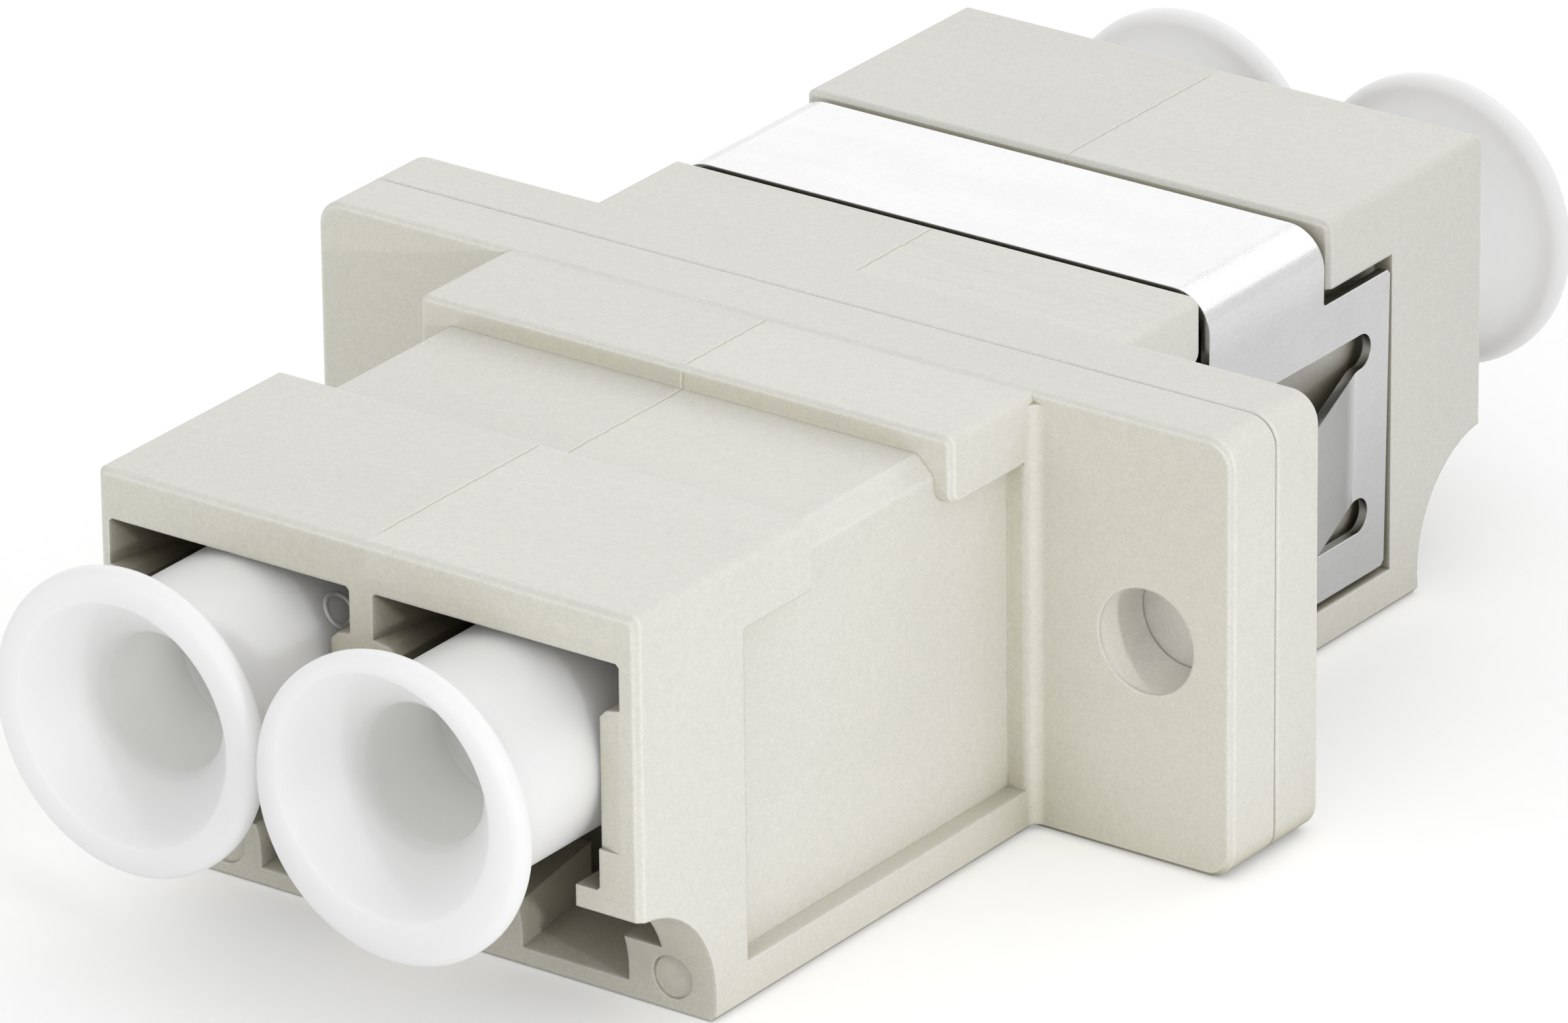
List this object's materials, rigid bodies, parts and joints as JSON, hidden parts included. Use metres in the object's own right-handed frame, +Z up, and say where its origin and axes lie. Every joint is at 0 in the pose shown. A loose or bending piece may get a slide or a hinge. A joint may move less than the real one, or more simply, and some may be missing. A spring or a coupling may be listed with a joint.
{
  "type": "fibre optic adapter",
  "caption": "Fibre optic adapter for small latched plugs: flanged moulded body in welded halves, folded steel panel clip, alignment sleeves and pull-out dust caps.",
  "frame": {"origin": "under the middle of the seam between the halves, on the plane of the flat underside", "axes": "+Y towards the rear mouth, past the panel clip; +Z up, away from the latch slots; +X to the right seen from the front mouth"},
  "size_m": [0.022, 0.0361, 0.0093],
  "materials": {
    "housing": "fine matte moulding",
    "sleeve": "bright phosphor bronze",
    "clip": "fine rolled steel",
    "cap": "soft satin"
  },
  "bodies": {
    "adapter": {"front_housing": "housing", "rear_housing": "housing", "alignment_sleeve_left": "sleeve", "alignment_sleeve_right": "sleeve", "panel_clip": "clip"},
    "front_left_cap": {"dust_cap_front_left": "cap"},
    "front_right_cap": {"dust_cap_front_right": "cap"},
    "rear_left_cap": {"dust_cap_rear_left": "cap"},
    "rear_right_cap": {"dust_cap_rear_right": "cap"}
  },
  "joints": [
    {"name": "front_left_cap_pull", "type": "slide", "parent": "adapter", "child": "front_left_cap", "axis": [0, -1, 0], "range_m": [0, 0.0125]},
    {"name": "front_right_cap_pull", "type": "slide", "parent": "adapter", "child": "front_right_cap", "axis": [0, -1, 0], "range_m": [0, 0.0125]},
    {"name": "rear_left_cap_pull", "type": "slide", "parent": "adapter", "child": "rear_left_cap", "axis": [0, 1, 0], "range_m": [0, 0.0125]},
    {"name": "rear_right_cap_pull", "type": "slide", "parent": "adapter", "child": "rear_right_cap", "axis": [0, 1, 0], "range_m": [0, 0.0125]}
  ]
}
